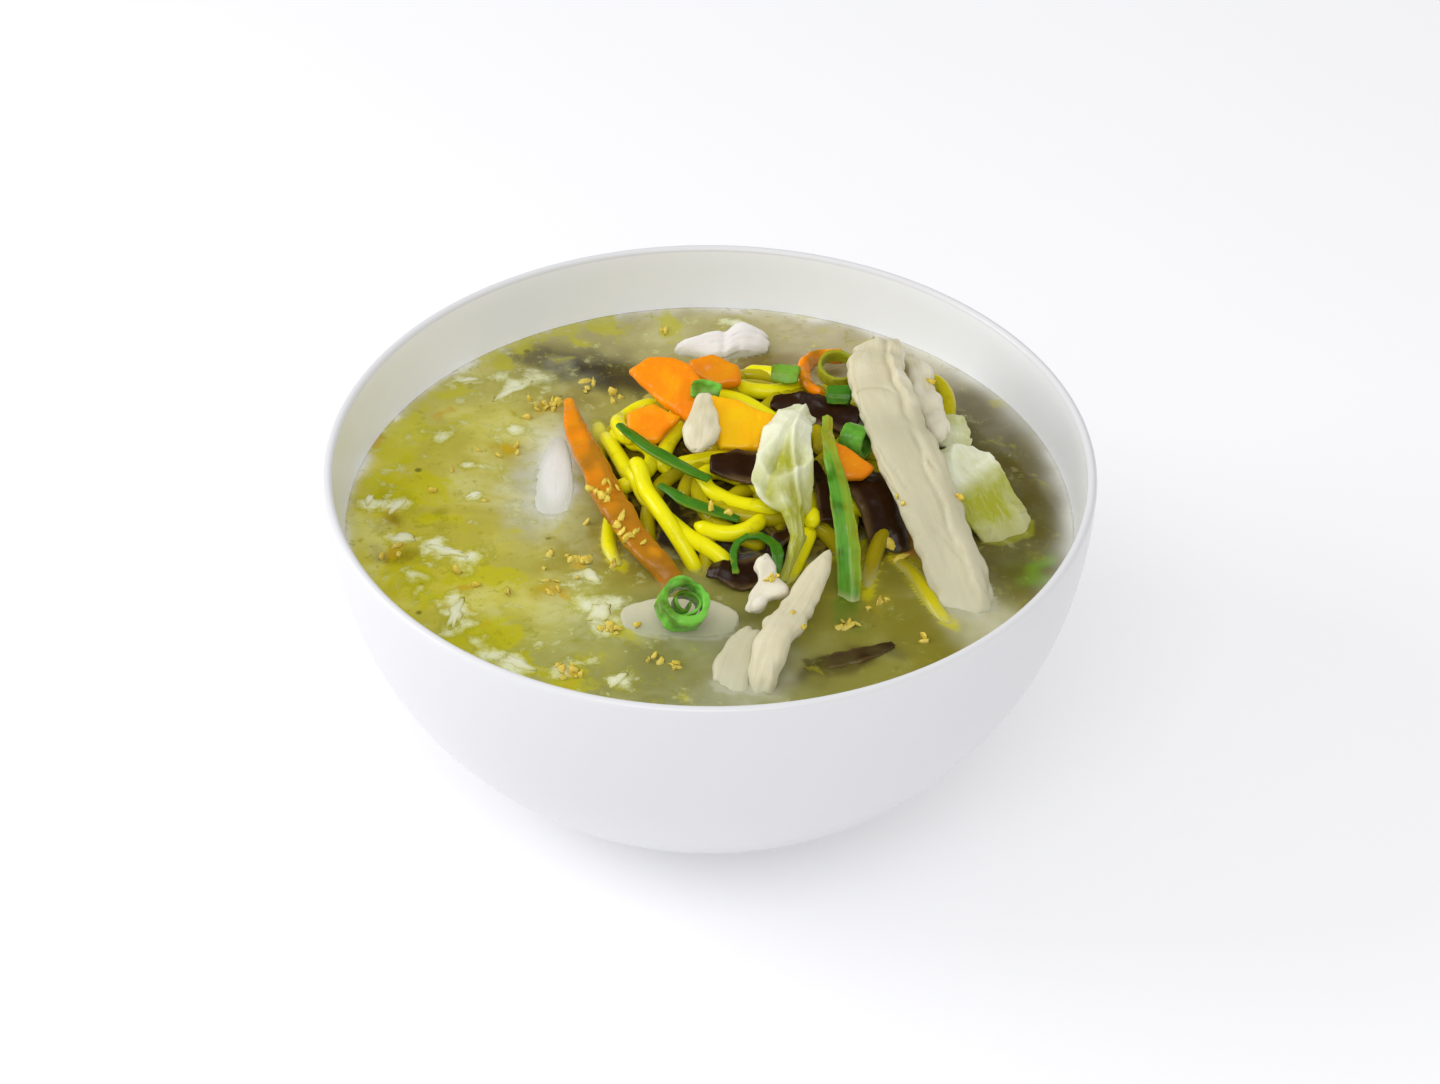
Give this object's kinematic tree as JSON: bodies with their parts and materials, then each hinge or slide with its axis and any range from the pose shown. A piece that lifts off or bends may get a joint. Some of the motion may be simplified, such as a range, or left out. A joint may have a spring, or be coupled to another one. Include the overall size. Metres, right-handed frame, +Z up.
{
  "type": "bowl of chicken noodle soup",
  "caption": "Round white bowl of noodle soup: cloudy broth round a heap of yellow noodles topped with chicken strips, carrot, cabbage leaf, dark mushroom and scallion.",
  "frame": {"origin": "centre of the underside of the bowl's foot ring, on the surface that the bowl stands on", "axes": "+Z up, out of the bowl's mouth; -Y towards the diner, the side that the picture was taken from; +X to the diner's right"},
  "size_m": [0.16, 0.1596, 0.0803],
  "materials": {
    "porcelain": "white glaze, glossy",
    "broth": "cloudy olive-yellow broth, wet",
    "noodle": "wet yellow noodle",
    "chicken": "cooked white meat, satin",
    "carrot": "cooked carrot, wet",
    "cabbage": "pale cooked leaf, wet",
    "mushroom": "dark wood-ear, wet",
    "scallion": "green leaf, wet"
  },
  "bodies": {
    "root": {"bowl": "porcelain", "broth": "broth", "noodle_heap": "noodle", "chicken_long_right": "chicken", "chicken_right_shred": "chicken", "chicken_front_blade": "chicken", "chicken_front_fold": "chicken", "chicken_front_shred": "chicken", "chicken_front_left": "chicken", "chicken_left": "chicken", "chicken_back": "chicken", "chicken_crumb": "chicken", "carrot_stick_left": "carrot", "carrot_curl_back": "carrot", "carrot_chip_left": "carrot", "carrot_slice_behind": "carrot", "carrot_slice_back": "carrot", "carrot_slice_mid": "carrot", "carrot_wedge": "carrot", "cabbage_centre": "cabbage", "cabbage_right_small": "cabbage", "cabbage_right_large": "cabbage", "mushroom_front": "mushroom", "mushroom_right": "mushroom", "mushroom_low": "mushroom", "mushroom_centre": "mushroom", "mushroom_strip": "mushroom", "mushroom_mid": "mushroom", "mushroom_back": "mushroom", "scallion_leaf_left_a": "scallion", "scallion_leaf_left_b": "scallion", "scallion_leaf_front": "scallion", "scallion_ring_back": "scallion", "scallion_ring_right": "scallion", "scallion_ring_front": "scallion", "scallion_ring_thin": "scallion", "scallion_bit_back": "scallion", "scallion_bit_dark": "scallion", "scallion_bit_mid": "scallion"}
  },
  "joints": []
}
